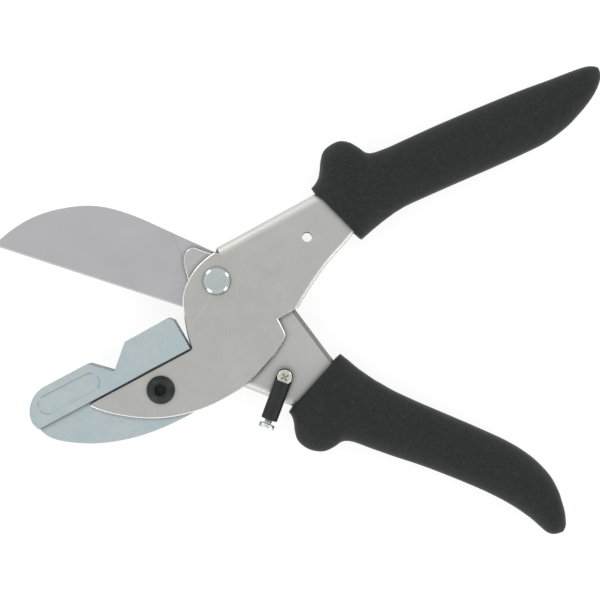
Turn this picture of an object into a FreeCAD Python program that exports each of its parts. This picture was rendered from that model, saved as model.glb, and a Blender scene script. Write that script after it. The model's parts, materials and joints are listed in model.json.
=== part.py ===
import FreeCAD, Part
import math, os

# ---------------------------------------------------------------------------
# Hand shears for plastic pipe and hose: two folded steel handles on one
# riveted pivot, a slim ground blade, and a slotted V anvil.
# Working frame while modelling: pivot axis = Z through (0,0), middle plane of
# the sheets z = 0, front (bolt head and lock bar side) = +Z.  Millimetres.
# At the end every piece is moved by SHIFT, so that the origin is the middle of
# the underside of the tool lying on its back.
# ---------------------------------------------------------------------------
V = FreeCAD.Vector

# ---- driving dimensions ----------------------------------------------------
SHIFT = V(-30.25, 7.134, 10.012)     # working frame -> row frame

SHEET = 2.0                # steel sheet of both handles
EDGE_BREAK = 0.38          # tumbled outer edges of the sheet
FRAME_GAP = 7.6            # between the two plates of the outer handle frame
FRAME_T = FRAME_GAP + 2 * SHEET
FRAME_BEND_R = 3.9         # outside radius of its fold
BLADE_T = 3.0
LEVER_GAP = 3.0            # between the plates of the inner lever
LEVER_T = LEVER_GAP + 2 * SHEET
LEVER_BEND_R = 3.4

RIVET_R = 4.0              # pivot rivet shank
RIVET_HEAD_R = 5.25
RIVET_HEAD_H = 1.6
BUSH_R = 5.0               # spacer bush the lever and blade turn on
RUN = 0.05                 # radial running clearance
SHIM_T = 0.25
SHIM_R = 7.2

ANVIL_T = 14.0             # thick head
SLOT_W = 3.4               # blade slot in the head
SLOT_DROP = 14.7           # slot floor below the pivot, square to the jaw
BOLT_R = 3.0               # M6
BOLT_HEAD_R = 5.25
BOLT_HEAD_H = 3.3
BOLT_HOLE_R = 3.15
BOLT = (-20.77, -40.55)
NUT_AF = 10.0
NUT_H = 3.2

HANG_R = 1.85
HANG = (33.64, 16.37)

LOCK = (25.33, -35.69)     # lock bar pivot
LOCK_DIR = 249.7           # degrees, direction of the bar with the jaws open
LOCK_BAR_R = 3.1
LOCK_BAR_L = 16.85         # pivot to the end of the bar
LOCK_AXIS_Z = 6.6
LOCK_SHANK_R = 2.0
LOCK_FLAT = 1.95           # milled shoulder beyond the pivot
ADJ_R = 1.5                # M3 adjusting screw
ADJ_HEAD_R = 2.95

WIRE_R = 0.6               # return spring wire
COIL_R = 3.7               # outside
COIL_HALF = 2.4

GRIP_HALF = 10.0           # half thickness of the grips at the guard

OUT = "parts"
os.makedirs(OUT, exist_ok=True)


# ---- helpers ----------------------------------------------------------------
def wire(segs):
    """Closed outline from ('L', points) straight and ('S', points) smooth runs,
    each starting where the one before it ended."""
    edges = []
    first = None
    last = None
    for kind, pts in segs:
        pts = [V(p[0], p[1], 0) for p in pts]
        if last is not None and (pts[0] - last).Length > 1e-6:
            pts = [last] + pts
        if first is None:
            first = pts[0]
        if kind == "L":
            for a, b in zip(pts, pts[1:]):
                if (a - b).Length > 1e-6:
                    edges.append(Part.LineSegment(a, b).toShape())
        else:
            c = Part.BSplineCurve()
            c.interpolate(pts)
            edges.append(c.toShape())
        last = pts[-1]
    if (last - first).Length > 1e-6:
        edges.append(Part.LineSegment(last, first).toShape())
    return Part.Wire(Part.__sortEdges__(edges))


def plate(segs, z0, z1):
    f = Part.Face(wire(segs))
    f.translate(V(0, 0, z0))
    return f.extrude(V(0, 0, z1 - z0))


def cyl(x, y, r, z0, z1):
    return Part.makeCylinder(r, z1 - z0, V(x, y, z0))


def ring(x, y, r0, r1, z0, z1):
    return cyl(x, y, r1, z0, z1).cut(cyl(x, y, r0, z0 - 1, z1 + 1))


def rod(p, q, r):
    d = V(*q) - V(*p)
    return Part.makeCylinder(r, d.Length, V(*p), d)


def on_seg(p, a, b, tol=0.02):
    """Is the point on the straight run a-b, seen along Z?"""
    ax, ay = a
    dx, dy = b[0] - ax, b[1] - ay
    L = math.hypot(dx, dy)
    t = ((p.x - ax) * dx + (p.y - ay) * dy) / L
    d = abs((p.x - ax) * dy - (p.y - ay) * dx) / L
    return d < tol and -tol < t < L + tol


def edges_on(shape, runs, zs):
    """Edges lying in a plane z in zs and along one of the straight runs."""
    out = []
    for e in shape.Edges:
        bb = e.BoundBox
        if bb.ZLength > 1e-3 or not any(abs(bb.ZMin - z) < 1e-3 for z in zs):
            continue
        a, b = e.Vertexes[0].Point, e.Vertexes[-1].Point
        if any(on_seg(a, *r) and on_seg(b, *r) for r in runs):
            out.append(e)
    return out


def round_edges(shape, edges, r, what=""):
    """Fillet, or leave the edges as they are where the kernel can't."""
    if not edges:
        print("no edges to round:", what)
        return shape
    for rr in (r, r * 0.8, r * 0.6):
        try:
            s = shape.makeFillet(rr, edges)
            if s.isValid() and s.Volume > 0.5 * shape.Volume and len(s.Solids) == 1:
                return s.Solids[0]
        except Exception as ex:
            pass
    print("left square:", what)
    return shape


def break_edges(shape, z, size, keep_off=(), smallest=1.2):
    """Chamfer the edges between a flat face at height z or -z and an upright wall, one
    run at a time, leaving a run square where the kernel can't."""
    def wanted(sh):
        out = []
        for e in sh.Edges:
            bb = e.BoundBox
            if bb.ZLength > 1e-4 or abs(abs(bb.ZMin) - z) > 1e-4 or e.Length < smallest:
                continue
            mid = e.valueAt((e.FirstParameter + e.LastParameter) / 2)
            if any(math.hypot(mid.x - x, mid.y - y) < r for x, y, r in keep_off):
                continue
            flat_face = wall = False
            for f in sh.ancestorsOfType(e, Part.Face):
                u, v = f.Surface.parameter(mid)
                n = f.normalAt(u, v)
                flat_face = flat_face or abs(n.z) > 0.999
                wall = wall or abs(n.z) < 0.01
            if flat_face and wall:
                out.append(e)
        return out

    def same(a, b):
        return a.CenterOfMass.distanceToPoint(b) < 1e-3

    def attempt(sh, edges):
        try:
            t = sh.makeChamfer(size, edges)
        except Exception:
            return None
        if len(t.Solids) != 1 or not t.isValid() or not 0.97 * sh.Volume < t.Volume < sh.Volume:
            return None
        return t.Solids[0]

    first = wanted(shape)
    whole = attempt(shape, first)
    if whole is not None:
        return whole
    left = 0
    for run in [[e.CenterOfMass for e in r] for r in Part.sortEdges(first)]:
        now = [e for e in shape.Edges if any(same(e, c) for c in run)]
        t = attempt(shape, now) if now else None
        if t is not None:
            shape = t
            continue
        for c in run:
            now = [e for e in shape.Edges if same(e, c)]
            t = attempt(shape, now) if now else None
            if t is not None:
                shape = t
            else:
                left += 1
    print("edges left square:", left, "of", len(first))
    return shape


def hexagon(x, y, af, z0, z1):
    r = af / math.sqrt(3)
    pts = [(x + r * math.cos(math.radians(30 + 60 * i)),
            y + r * math.sin(math.radians(30 + 60 * i))) for i in range(6)]
    return plate([("L", pts + [pts[0]])], z0, z1)


def unit(a):
    return (math.cos(math.radians(a)), math.sin(math.radians(a)))


PIECES = {}


def keep(name, shape):
    solids = shape.Solids
    shape = solids[0] if len(solids) == 1 else Part.makeCompound(solids)
    PIECES[name] = shape


# ---- outer handle frame: upper handle, body cheeks and jaw cheeks in one -----
FOLD = [(0.0, 12.46), (36.5, 32.44)]
TANG = [(36.5, 32.44), (113.38, 64.4)]
HANDLE_IN = [(56.6, 24.45), (53.6, 20.95), (50.74, 17.47), (46.64, 12.61), (42.17, 7.58), (37.7, 1.59), (33.24, -5.18), (30.48, -9.88)]
HANDLE_EXT = (28.4, -13.7)
NOTCH = [(22.83, -14.22), (38.13, -5.54), (42.0, -22.0), (27.2, -22.9)]
FRONT = [(-9.31, -25.36), (-10.92, -19.76), (-11.96, -14.22), (-12.6, -9.0), (-12.55, -5.9),
         (-11.9, -3.0), (-10.6, 0.1), (-8.32, 3.88), (-6.02, 6.48), (-3.56, 8.64), (-0.81, 10.57)]
frame_outline = [
    ("L", FOLD), ("L", TANG),
    ("L", [(113.38, 64.4), (116.75, 61.03), (117.13, 56.54), (114.51, 52.71)]),
    ("L", [(114.51, 52.71), (68.28, 32.02), (61.5, 26.2), (56.6, 24.45)]),
    ("S", HANDLE_IN + [HANDLE_EXT]),
    ("L", [HANDLE_EXT, (24.98, -18.49)]),
    ("S", [(24.98, -18.49), (25.5, -20.3), (24.72, -22.4), (22.34, -26.26), (17.59, -32.17),
           (13.31, -36.63), (10.97, -38.6)]),
    ("S", [(10.97, -38.6), (6.47, -41.9), (2.01, -44.5), (-2.82, -46.8), (-6.91, -48.3), (-12.48, -49.8),
           (-17.61, -50.75), (-24.01, -51.2), (-30.4, -50.87), (-36.79, -49.87), (-43.19, -48.2), (-45.94, -47.11)]),
    ("S", [(-45.94, -47.11), (-47.0, -46.3), (-46.33, -45.17)]),
    ("L", [(-46.33, -45.17), (-9.31, -25.36)]),
    ("S", FRONT),
    ("L", [(-0.81, 10.57), (0.0, 12.46)]),
]
H = FRAME_T / 2
outer = plate(frame_outline, -H, H)
outer = round_edges(outer, edges_on(outer, [FOLD, TANG], [-H, H]), FRAME_BEND_R, "frame fold outside")
square = outer


def offset_line(a, b, d):
    ux, uy = b[0] - a[0], b[1] - a[1]
    L = math.hypot(ux, uy)
    nx, ny = uy / L, -ux / L
    return (a[0] + nx * d, a[1] + ny * d), (b[0] + nx * d, b[1] + ny * d)


def meet(l1, l2):
    (x1, y1), (x2, y2) = l1
    (x3, y3), (x4, y4) = l2
    d = (x1 - x2) * (y3 - y4) - (y1 - y2) * (x3 - x4)
    a = x1 * y2 - y1 * x2
    b = x3 * y4 - y3 * x4
    return ((a * (x3 - x4) - (x1 - x2) * b) / d, (a * (y3 - y4) - (y1 - y2) * b) / d)


in1 = offset_line(FOLD[0], FOLD[1], SHEET)
in2 = offset_line(TANG[0], TANG[1], SHEET)
kink = meet(in1, in2)
# the fold's front end is the stop for the blade's back when the jaws are open
END_OUT = (0.0, 12.46)
END_IN = (-0.90, 9.69)
end_line = (END_OUT, END_IN)
start = meet(in1, end_line)
far = (in2[1][0] + 20, in2[1][1] + 20 * (TANG[1][1] - TANG[0][1]) / (TANG[1][0] - TANG[0][0]))
IN1 = [start, kink]
IN2 = [kink, far]
inner = plate([("L", [start, kink, far, (170, 60), (170, -90), (-90, -90), (-90, 40), (-3.0, 40.0), END_OUT, start])],
              -FRAME_GAP / 2, FRAME_GAP / 2)
inner = round_edges(inner, edges_on(inner, [IN1, IN2], [-FRAME_GAP / 2, FRAME_GAP / 2]), FRAME_BEND_R - SHEET,
                    "frame fold inside")
frame = outer.cut(inner)
frame = frame.cut(plate([("L", NOTCH + [NOTCH[0]])], -H - 1, H + 1))
# the rim of the open side of the handle is rolled over down to the lock notch
rim = []
for e in frame.Edges:
    bb = e.BoundBox
    if bb.ZLength < 1e-3 and abs(abs(bb.ZMin) - H) < 1e-3 and e.Length > 30:
        ends = [(v.Point.x, v.Point.y) for v in (e.Vertexes[0], e.Vertexes[-1])]
        if any(math.dist(p, HANDLE_IN[0]) < 0.05 for p in ends):
            rim.append(e)
rim = [e for e in rim if e.Length < 50]
frame = round_edges(frame, rim, 1.6, "frame rim")
# in front of the fold the cheeks stay flat, and a relief notch parts them from its end
flat = plate([("L", [(1.7, 9.0), (0.95, 10.35), (-1.16, 10.4), (-14.0, 16.7), (-14.0, -6.0), (1.7, 0.0), (1.7, 9.0)])], -H, H)
flat = flat.common(plate(frame_outline, -H, H)).cut(plate([("L", [(-20, -20), (20, -20), (20, 20), (-20, 20), (-20, -20)])], -FRAME_GAP / 2, FRAME_GAP / 2))
relief = [(-1.16, 10.4), (-3.4, 15.6), (0.0, 12.46), (0.95, 10.35), (-1.16, 10.4)]
for z0, z1 in ((FRAME_GAP / 2 - 1.0, H + 1), (-H - 1, -FRAME_GAP / 2 + 1.0)):
    frame = frame.cut(plate([("L", relief)], z0, z1))
frame = frame.fuse(flat).removeSplitter()
frame = frame.cut(cyl(0, 0, RIVET_R, -H - 1, H + 1))
frame = frame.cut(cyl(BOLT[0], BOLT[1], BOLT_HOLE_R, -H - 1, H + 1))
frame = frame.cut(cyl(HANG[0], HANG[1], HANG_R, -H - 1, H + 1))
frame = break_edges(frame, H, EDGE_BREAK, ((0, 0, RIVET_R + 1), (BOLT[0], BOLT[1], BOLT_HOLE_R + 1),
                                           (HANG[0], HANG[1], HANG_R + 1), (0.95, 10.35, 2.4)))
keep("handle_frame", frame)

# ---- anvil -------------------------------------------------------------------
STEP_A = (-65.9, -55.26)
STEP_B = (-9.75, -25.16)
NOSE = [(-64.19, -39.41), (-66.5, -41.2), (-68.3, -43.9), (-69.3, -46.9), (-69.35, -49.9), (-68.3, -52.9), (-65.9, -55.26)]
head_outline = [
    ("L", [(-17.95, -13.73), (-34.13, -22.67), (-37.77, -33.2), (-38.3, -33.5), (-47.79, -30.76), (-64.19, -39.41)]),
    ("S", NOSE),
    ("L", [STEP_A, STEP_B, (-15.91, -14.54), (-17.95, -13.73)]),
]
A = ANVIL_T / 2
head = plate(head_outline, -A, A)
sel = [e for e in head.Edges if e.BoundBox.ZLength < 1e-3]
head = round_edges(head, sel, 0.45, "anvil head edges")
G = FRAME_GAP / 2
tang = plate([
    ("L", [STEP_B, STEP_A]),
    ("S", [STEP_A, (-63.87, -57.3), (-60.96, -58.8), (-54.1, -60.21), (-45.98, -60.62), (-38.3, -59.91),
           (-30.58, -58.34), (-22.01, -55.47), (-13.47, -51.63), (-8.14, -48.69)]),
    ("S", [(-8.14, -48.69), (-4.04, -45.3), (-2.17, -39.93), (-3.7, -31.5), (-7.58, -26.6)]),
    ("L", [(-7.58, -26.6), STEP_B]),
], -G, G)
anvil = head.fuse(tang).removeSplitter()
# blade slot: open along the jaw, at the nose and at the heel
ax, ay = unit(208.5)
ux, uy = -ay * -1.0, ax * -1.0          # square to the jaw, towards the blade
ux, uy = ay, -ax
s0 = (-SLOT_DROP * ux, -SLOT_DROP * uy)
slot = plate([("L", [(s0[0] + t * ax + h * ux, s0[1] + t * ay + h * uy)
                     for t, h in ((-30, 0), (110, 0), (110, 60), (-30, 60), (-30, 0))])], -SLOT_W / 2, SLOT_W / 2)
anvil = anvil.cut(slot)
anvil = anvil.cut(cyl(BOLT[0], BOLT[1], BOLT_HOLE_R, -A - 1, A + 1))
# plain oval recess in the front of the nose
pa, pb, pr = (-62.8, -46.0), (-46.9, -37.8), 3.4
dx, dy = pb[0] - pa[0], pb[1] - pa[1]
L = math.hypot(dx, dy)
nx, ny = -dy / L * pr, dx / L * pr
oval = plate([("L", [(pa[0] + nx, pa[1] + ny), (pb[0] + nx, pb[1] + ny), (pb[0] - nx, pb[1] - ny),
                     (pa[0] - nx, pa[1] - ny), (pa[0] + nx, pa[1] + ny)])], A - 0.3, A + 1)
oval = oval.fuse([cyl(pa[0], pa[1], pr, A - 0.3, A + 1), cyl(pb[0], pb[1], pr, A - 0.3, A + 1)])
anvil = anvil.cut(oval)
anvil = break_edges(anvil, A, EDGE_BREAK * 0.7, ((BOLT[0], BOLT[1], BOLT_HOLE_R + 1),))
keep("anvil", anvil)

# ---- anvil bolt (button head, socket) and thin nut ----------------------------
R = (BOLT_HEAD_R ** 2 + BOLT_HEAD_H ** 2) / (2 * BOLT_HEAD_H)
prof = Part.Wire([
    Part.LineSegment(V(0, 0, H), V(BOLT_HEAD_R, 0, H)).toShape(),
    Part.LineSegment(V(BOLT_HEAD_R, 0, H), V(BOLT_HEAD_R, 0, H + 0.5)).toShape(),
    Part.Arc(V(BOLT_HEAD_R, 0, H + 0.5), V(4.15, 0, H + 2.25), V(2.9, 0, H + BOLT_HEAD_H)).toShape(),
    Part.LineSegment(V(2.9, 0, H + BOLT_HEAD_H), V(0, 0, H + BOLT_HEAD_H)).toShape(),
    Part.LineSegment(V(0, 0, H + BOLT_HEAD_H), V(0, 0, H)).toShape()])
bolt = Part.Face(prof).revolve(V(0, 0, 0), V(0, 0, 1), 360)
bolt = Part.makeSolid(bolt) if bolt.ShapeType == "Shell" else bolt
bolt.translate(V(BOLT[0], BOLT[1], 0))
shank = cyl(BOLT[0], BOLT[1], BOLT_R, -H - NUT_H - 0.4, H)
bolt = bolt.fuse(shank).removeSplitter().cut(hexagon(BOLT[0], BOLT[1], 4.0, H + 0.9, H + 5))
keep("anvil_bolt", bolt)
nut = hexagon(BOLT[0], BOLT[1], NUT_AF, -H - NUT_H, -H)
cone = Part.makeCone(5.15, 7.2, 3.4, V(BOLT[0], BOLT[1], -H - NUT_H), V(0, 0, 1))
nut = nut.common(cone).cut(cyl(BOLT[0], BOLT[1], BOLT_R, -20, 0))
keep("anvil_nut", nut)

# ---- pivot: rivet, bush, shims -------------------------------------------------
def rivet_head(z0, sgn):
    prof = Part.makePolygon([V(0, 0, z0), V(RIVET_HEAD_R, 0, z0), V(RIVET_HEAD_R, 0, z0 + sgn * 0.42),
                             V(RIVET_HEAD_R - 0.10, 0, z0 + sgn * 0.63), V(RIVET_HEAD_R - 1.30, 0, z0 + sgn * RIVET_HEAD_H),
                             V(0, 0, z0 + sgn * RIVET_HEAD_H), V(0, 0, z0)])
    s = Part.Face(prof).revolve(V(0, 0, 0), V(0, 0, 1), 360)
    return s


rivet = cyl(0, 0, RIVET_R, -H, H).fuse([rivet_head(H, 1), rivet_head(-H, -1)]).removeSplitter()
keep("pivot_rivet", rivet)
keep("pivot_bush", ring(0, 0, RIVET_R, BUSH_R, -G, G))
keep("pivot_shims", Part.makeCompound([ring(0, 0, BUSH_R, SHIM_R, G - SHIM_T, G),
                                       ring(0, 0, BUSH_R, SHIM_R, -G, -G + SHIM_T)]))

# ---- lever: lower handle and blade cheeks in one ---------------------------------
LF = [(5.64, -37.97), (102.2, -76.29)]
LEV_IN = [(42.19, -28.01), (20.11, 1.46)]
lever_outline = [
    ("L", LF),
    ("L", [(102.2, -76.29), (105.2, -74.95), (107.07, -69.32), (104.66, -63.21)]),
    ("L", [(104.66, -63.21), (75.87, -50.87), (62.79, -45.07), (54.19, -40.02), (48.16, -35.09), (42.19, -28.01)]),
    ("L", LEV_IN),
    ("L", [(20.11, 1.46), (4.0, 6.9), (-1.61, 8.3), (-1.14, 9.77), (-7.2, 11.95)]),
    ("S", [(-7.2, 11.95), (-9.3, 12.35), (-10.9, 11.55), (-11.95, 9.8), (-12.4, 7.9), (-12.1, 5.5)]),
    ("L", [(-12.1, 5.5), (-10.84, 0.82), (-8.72, -6.0), (-4.8, -15.33), (0.42, -26.52), (3.4, -33.23), (5.64, -37.97)]),
]
K = LEVER_T / 2
k = LEVER_GAP / 2
lo = plate(lever_outline, -K, K)
lo = round_edges(lo, edges_on(lo, [LF], [-K, K]), LEVER_BEND_R, "lever fold outside")


def offset_left(a, b, d):
    ux, uy = b[0] - a[0], b[1] - a[1]
    L = math.hypot(ux, uy)
    nx, ny = -uy / L, ux / L
    return (a[0] + nx * d, a[1] + ny * d), (b[0] + nx * d, b[1] + ny * d)


l1 = offset_left(LF[0], LF[1], SHEET)
ldx, ldy = (LF[1][0] - LF[0][0]), (LF[1][1] - LF[0][1])
lL = math.hypot(ldx, ldy)
ldx, ldy = ldx / lL, ldy / lL
la = (l1[0][0] - 3 * ldx, l1[0][1] - 3 * ldy)
lb = (l1[1][0] + 20 * ldx, l1[1][1] + 20 * ldy)
li = plate([("L", [la, lb, (150, 60), (-60, 60), (-60, -25), la])], -k, k)
li = round_edges(li, edges_on(li, [(la, lb)], [-k, k]), LEVER_BEND_R - SHEET, "lever fold inside")
lever = lo.cut(li)
rim = []
for e in lever.Edges:
    bb = e.BoundBox
    if bb.ZLength < 1e-3 and abs(abs(bb.ZMin) - K) < 1e-3:
        a, b = e.Vertexes[0].Point, e.Vertexes[-1].Point
        if on_seg(a, *LEV_IN) and on_seg(b, *LEV_IN):
            rim.append(e)
lever = round_edges(lever, rim, 1.6, "lever rim")
lever = lever.cut(cyl(0, 0, BUSH_R + RUN, -K - 1, K + 1))
lever = lever.cut(cyl(LOCK[0], LOCK[1], LOCK_SHANK_R + RUN, -K - 1, K + 1))
BR = [(9.63, -1.5), (7.38, -15.37)]
for x, y in BR:
    lever = lever.cut(cyl(x, y, 2.0, -K - 1, K + 1))
lever = break_edges(lever, K, EDGE_BREAK * 0.8, ((0, 0, BUSH_R + 1), (LOCK[0], LOCK[1], LOCK_SHANK_R + 1),
                                               (BR[0][0], BR[0][1], 3), (BR[1][0], BR[1][1], 3)))
keep("lever_handle", lever)

# ---- blade ---------------------------------------------------------------------------
TIP = (-83.05, 14.0)
HEEL = (-13.02, -9.71)
EDGE_L = (-82.43, 12.87)
blade = plate([
    ("S", [TIP, (-81.36, 15.62), (-78.37, 18.12), (-75.37, 20.3), (-70.88, 22.92), (-65.63, 25.17), (-61.14, 26.51),
           (-56.64, 27.41), (-52.15, 28.01), (-47.65, 28.16), (-43.16, 27.79), (-38.66, 26.85), (-34.17, 25.5),
           (-27.43, 22.9)]),
    ("L", [(-27.43, 22.9), (-0.70, 10.69), (-1.02, 9.72), (4.34, 7.75)]),
    ("S", [(4.34, 7.75), (9.63, 4.13), (14.13, -2.62), (15.25, -10.12), (13.0, -17.25), (7.75, -21.0), (1.75, -19.87),
           (-5.37, -15.18), HEEL]),
    ("L", [HEEL, EDGE_L, TIP]),
], -BLADE_T / 2, BLADE_T / 2)
# flat grind on both sides: from the full thickness 27 mm behind the edge to a thin edge,
# stopping at a slanted shoulder in front of the pivot
GR_A, GR_B = (-16.7, 17.95), (-3.8, -11.6)
ed = V(EDGE_L[0] - HEEL[0], EDGE_L[1] - HEEL[1], 0).normalize()       # heel -> tip
en = V(ed.y, -ed.x, 0)                                                # square to the edge, into the blade
if en.y < 0:
    en = en * -1
EDGE_HALF = 0.12
GRIND_W = 26.5


def half_space(p0, normal, size=400.0):
    """A block whose lower face lies in the plane through p0, on the normal's side."""
    b = Part.makeBox(size, size, size, V(-size / 2, -size / 2, 0))
    rot = FreeCAD.Rotation(V(0, 0, 1), normal)
    b.Placement = FreeCAD.Placement(p0, rot)
    return b


for sgn in (1, -1):
    rise = (BLADE_T / 2 - EDGE_HALF)
    gn = V(-en.x * rise, -en.y * rise, GRIND_W)
    gn.normalize()
    g = half_space(V(HEEL[0], HEEL[1], EDGE_HALF), gn)
    gd = V(GR_B[0] - GR_A[0], GR_B[1] - GR_A[1], 0).normalize()
    gl = V(gd.y, -gd.x, 0)                                            # towards the tip
    if gl.x > 0:
        gl = gl * -1
    rn = V(gl.x * math.sin(math.radians(50)), gl.y * math.sin(math.radians(50)), math.cos(math.radians(50)))
    r = half_space(V(GR_A[0], GR_A[1], BLADE_T / 2), rn)
    tool = g.common(r)
    if sgn < 0:
        tool = tool.mirror(V(0, 0, 0), V(0, 0, 1))
    blade = blade.cut(tool)
blade = blade.cut(cyl(0, 0, BUSH_R + RUN, -5, 5))
for x, y in BR:
    blade = blade.cut(cyl(x, y, 2.0, -5, 5))
keep("blade", blade)
keep("blade_rivets", Part.makeCompound([cyl(x, y, 2.0, -K, K) for x, y in BR]))

# ---- grips: oval sections laid out along each handle ------------------------------------
# each station: outer point, inner point, thickness factor
UP = [((35.1, 34.54), (53.92, 15.38), 0.93), ((36.6, 36.23), (55.5, 16.76), 1.0),
      ((37.87, 38.59), (57.15, 18.23), 1.03), ((38.36, 41.51), (58.42, 19.35), 1.04),
      ((38.7, 45.0), (59.55, 20.25), 1.04), ((39.71, 48.41), (60.56, 21.11), 1.03),
      ((42.34, 50.93), (61.91, 22.2), 1.01), ((45.79, 52.39), (63.37, 23.33), 0.99),
      ((49.39, 51.9), (64.35, 24.04), 0.98), ((52.39, 50.29), (65.33, 24.75), 0.97),
      ((56.59, 47.89), (66.94, 25.91), 0.96), ((62.85, 49.61), (71.62, 28.58), 0.96),
      ((71.4, 53.44), (80.14, 32.44), 0.97), ((81.67, 58.09), (90.45, 36.98), 0.97),
      ((93.71, 63.26), (102.49, 42.19), 0.95), ((105.86, 68.29), (114.49, 47.59), 0.93),
      ((115.27, 72.0), (123.52, 52.12), 0.92), ((123.38, 74.96), (130.65, 57.49), 0.9),
      ((128.66, 76.99), (134.93, 61.84), 0.88), ((133.88, 78.98), (138.64, 66.23), 0.84),
      ((137.81, 80.21), (141.04, 69.79), 0.74), ((140.66, 80.4), (142.69, 73.24), 0.58),
      ((142.46, 79.88), (143.55, 75.49), 0.36)]
LO = [((26.7, -48.94), (46.05, -27.19), 0.93), ((28.01, -50.77), (47.62, -28.54), 1.0),
      ((28.72, -53.21), (49.05, -29.66), 1.03), ((29.1, -56.32), (50.33, -30.75), 1.04),
      ((30.15, -59.59), (51.67, -31.91), 1.04), ((32.81, -62.18), (53.44, -33.26), 1.03),
      ((36.34, -63.6), (55.2, -34.5), 1.01), ((40.12, -63.75), (56.66, -35.55), 0.99),
      ((43.65, -62.21), (57.83, -36.3), 0.98), ((46.95, -60.11), (59.25, -37.27), 0.97),
      ((50.89, -60.26), (61.31, -38.4), 0.96), ((57.22, -62.55), (66.3, -41.21), 0.96),
      ((66.08, -65.66), (74.81, -45.15), 0.97), ((76.76, -69.19), (85.09, -49.54), 0.97),
      ((89.03, -73.91), (97.16, -54.71), 0.95), ((101.1, -79.05), (109.05, -60.22), 0.93),
      ((110.06, -83.77), (117.71, -65.77), 0.92), ((117.19, -88.61), (124.16, -72.19), 0.9),
      ((121.39, -92.32), (127.5, -77.96), 0.87), ((123.45, -94.01), (128.93, -82.12), 0.82),
      ((125.21, -94.69), (129.94, -85.57), 0.72), ((127.12, -94.5), (130.43, -88.24), 0.56),
      ((128.93, -93.53), (130.69, -89.96), 0.34)]


def sect(o, i, t, n=32, p=2.6):
    a = V(o[0], o[1], 0)
    b = V(i[0], i[1], 0)
    c = (a + b) * 0.5
    u = a - b
    w = u.Length / 2
    u.normalize()
    pts = []
    for m in range(n):
        th = 2 * math.pi * m / n
        cs, sn = math.cos(th), math.sin(th)
        x = w * math.copysign(abs(cs) ** (2 / p), cs)
        z = GRIP_HALF * t / 1.04 * math.copysign(abs(sn) ** (2 / p), sn)
        pts.append(c + u * x + V(0, 0, z))
    s = Part.BSplineCurve()
    s.interpolate(Points=pts, PeriodicFlag=True)
    return Part.Wire(s.toShape())


def grip(stations, hole):
    s = Part.makeLoft([sect(*st) for st in stations], True, False)
    if not s.isValid():
        print("grip loft not valid")
    g = s.cut(hole)
    return g


ug = grip(UP, square)
lg = grip(LO, lo)
keep("upper_grip", ug)
keep("lower_grip", lg)

# ---- return spring: wire torsion spring under the fold of the upper handle -----------------
fd = V(FOLD[1][0] - FOLD[0][0], FOLD[1][1] - FOLD[0][1], 0).normalize()
fn = V(-fd.y, fd.x, 0)
foot = V(FOLD[0][0], FOLD[0][1], 0).dot(fn) - SHEET                    # inner face above the pivot
T = fd * 32.0 + fn * (foot - 0.06 - COIL_R)
tip = V(18.50, 2.86, 0)
rm = COIL_R - WIRE_R
d = tip - T
phi = math.acos(rm / d.Length)
base = math.atan2(d.y, d.x)
tp = V(T.x + rm * math.cos(base - phi), T.y + rm * math.sin(base - phi), 0)
fixed0 = T + fn * rm
fixed1 = fixed0 + fd * 13.5
coil = ring(T.x, T.y, COIL_R - 2 * WIRE_R, COIL_R, -COIL_HALF, COIL_HALF)
zf = COIL_HALF - WIRE_R
spring = coil.fuse([rod((tp.x, tp.y, -zf), (tip.x, tip.y, -zf), WIRE_R),
                    rod((fixed0.x, fixed0.y, zf), (fixed1.x, fixed1.y, zf), WIRE_R),
                    rod((tip.x, tip.y, -3.1), (tip.x, tip.y, 3.1), WIRE_R),
                    Part.makeSphere(WIRE_R, V(tip.x, tip.y, 3.1)),
                    Part.makeSphere(WIRE_R, V(tip.x, tip.y, -3.1))])
keep("return_spring", spring.removeSplitter())

# ---- lock bar on the lever -----------------------------------------------------------------
lx, ly = unit(LOCK_DIR)


def along(s, off=0.0):
    return (LOCK[0] + lx * s - ly * off, LOCK[1] + ly * s + lx * off)


p0 = along(-3.2)
bar = Part.makeCylinder(LOCK_BAR_R, LOCK_BAR_L + 3.2, V(p0[0], p0[1], LOCK_AXIS_Z), V(lx, ly, 0))
end = [e for e in bar.Edges if abs(V(e.BoundBox.Center.x - along(LOCK_BAR_L)[0], e.BoundBox.Center.y - along(LOCK_BAR_L)[1], 0).Length) < 0.05]
bar = round_edges(bar, end, 0.4, "lock bar end")
# milled half eye at the pivot
c = [along(-8, -6), along(LOCK_FLAT, -6), along(LOCK_FLAT, 6), along(-8, 6)]
bar = bar.cut(plate([("L", c + [c[0]])], LOCK_AXIS_Z, LOCK_AXIS_Z + 8))
c = [along(-8, -6), along(0, -6), along(0, 6), along(-8, 6)]
round_end = plate([("L", c + [c[0]])], 0, 20).cut(cyl(LOCK[0], LOCK[1], LOCK_BAR_R, -1, 21))
bar = bar.cut(round_end)
# flat underside
c = [along(-8, -6), along(40, -6), along(40, 6), along(-8, 6)]
bar = bar.cut(plate([("L", c + [c[0]])], 0, K + 0.4))
bar = bar.cut(cyl(LOCK[0], LOCK[1], LOCK_SHANK_R, 0, 20))
b0 = along(LOCK_BAR_L - 11.5)
bar = bar.cut(Part.makeCylinder(ADJ_R + RUN, 14, V(b0[0], b0[1], LOCK_AXIS_Z), V(lx, ly, 0)))
keep("lock_bar", bar)

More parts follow.
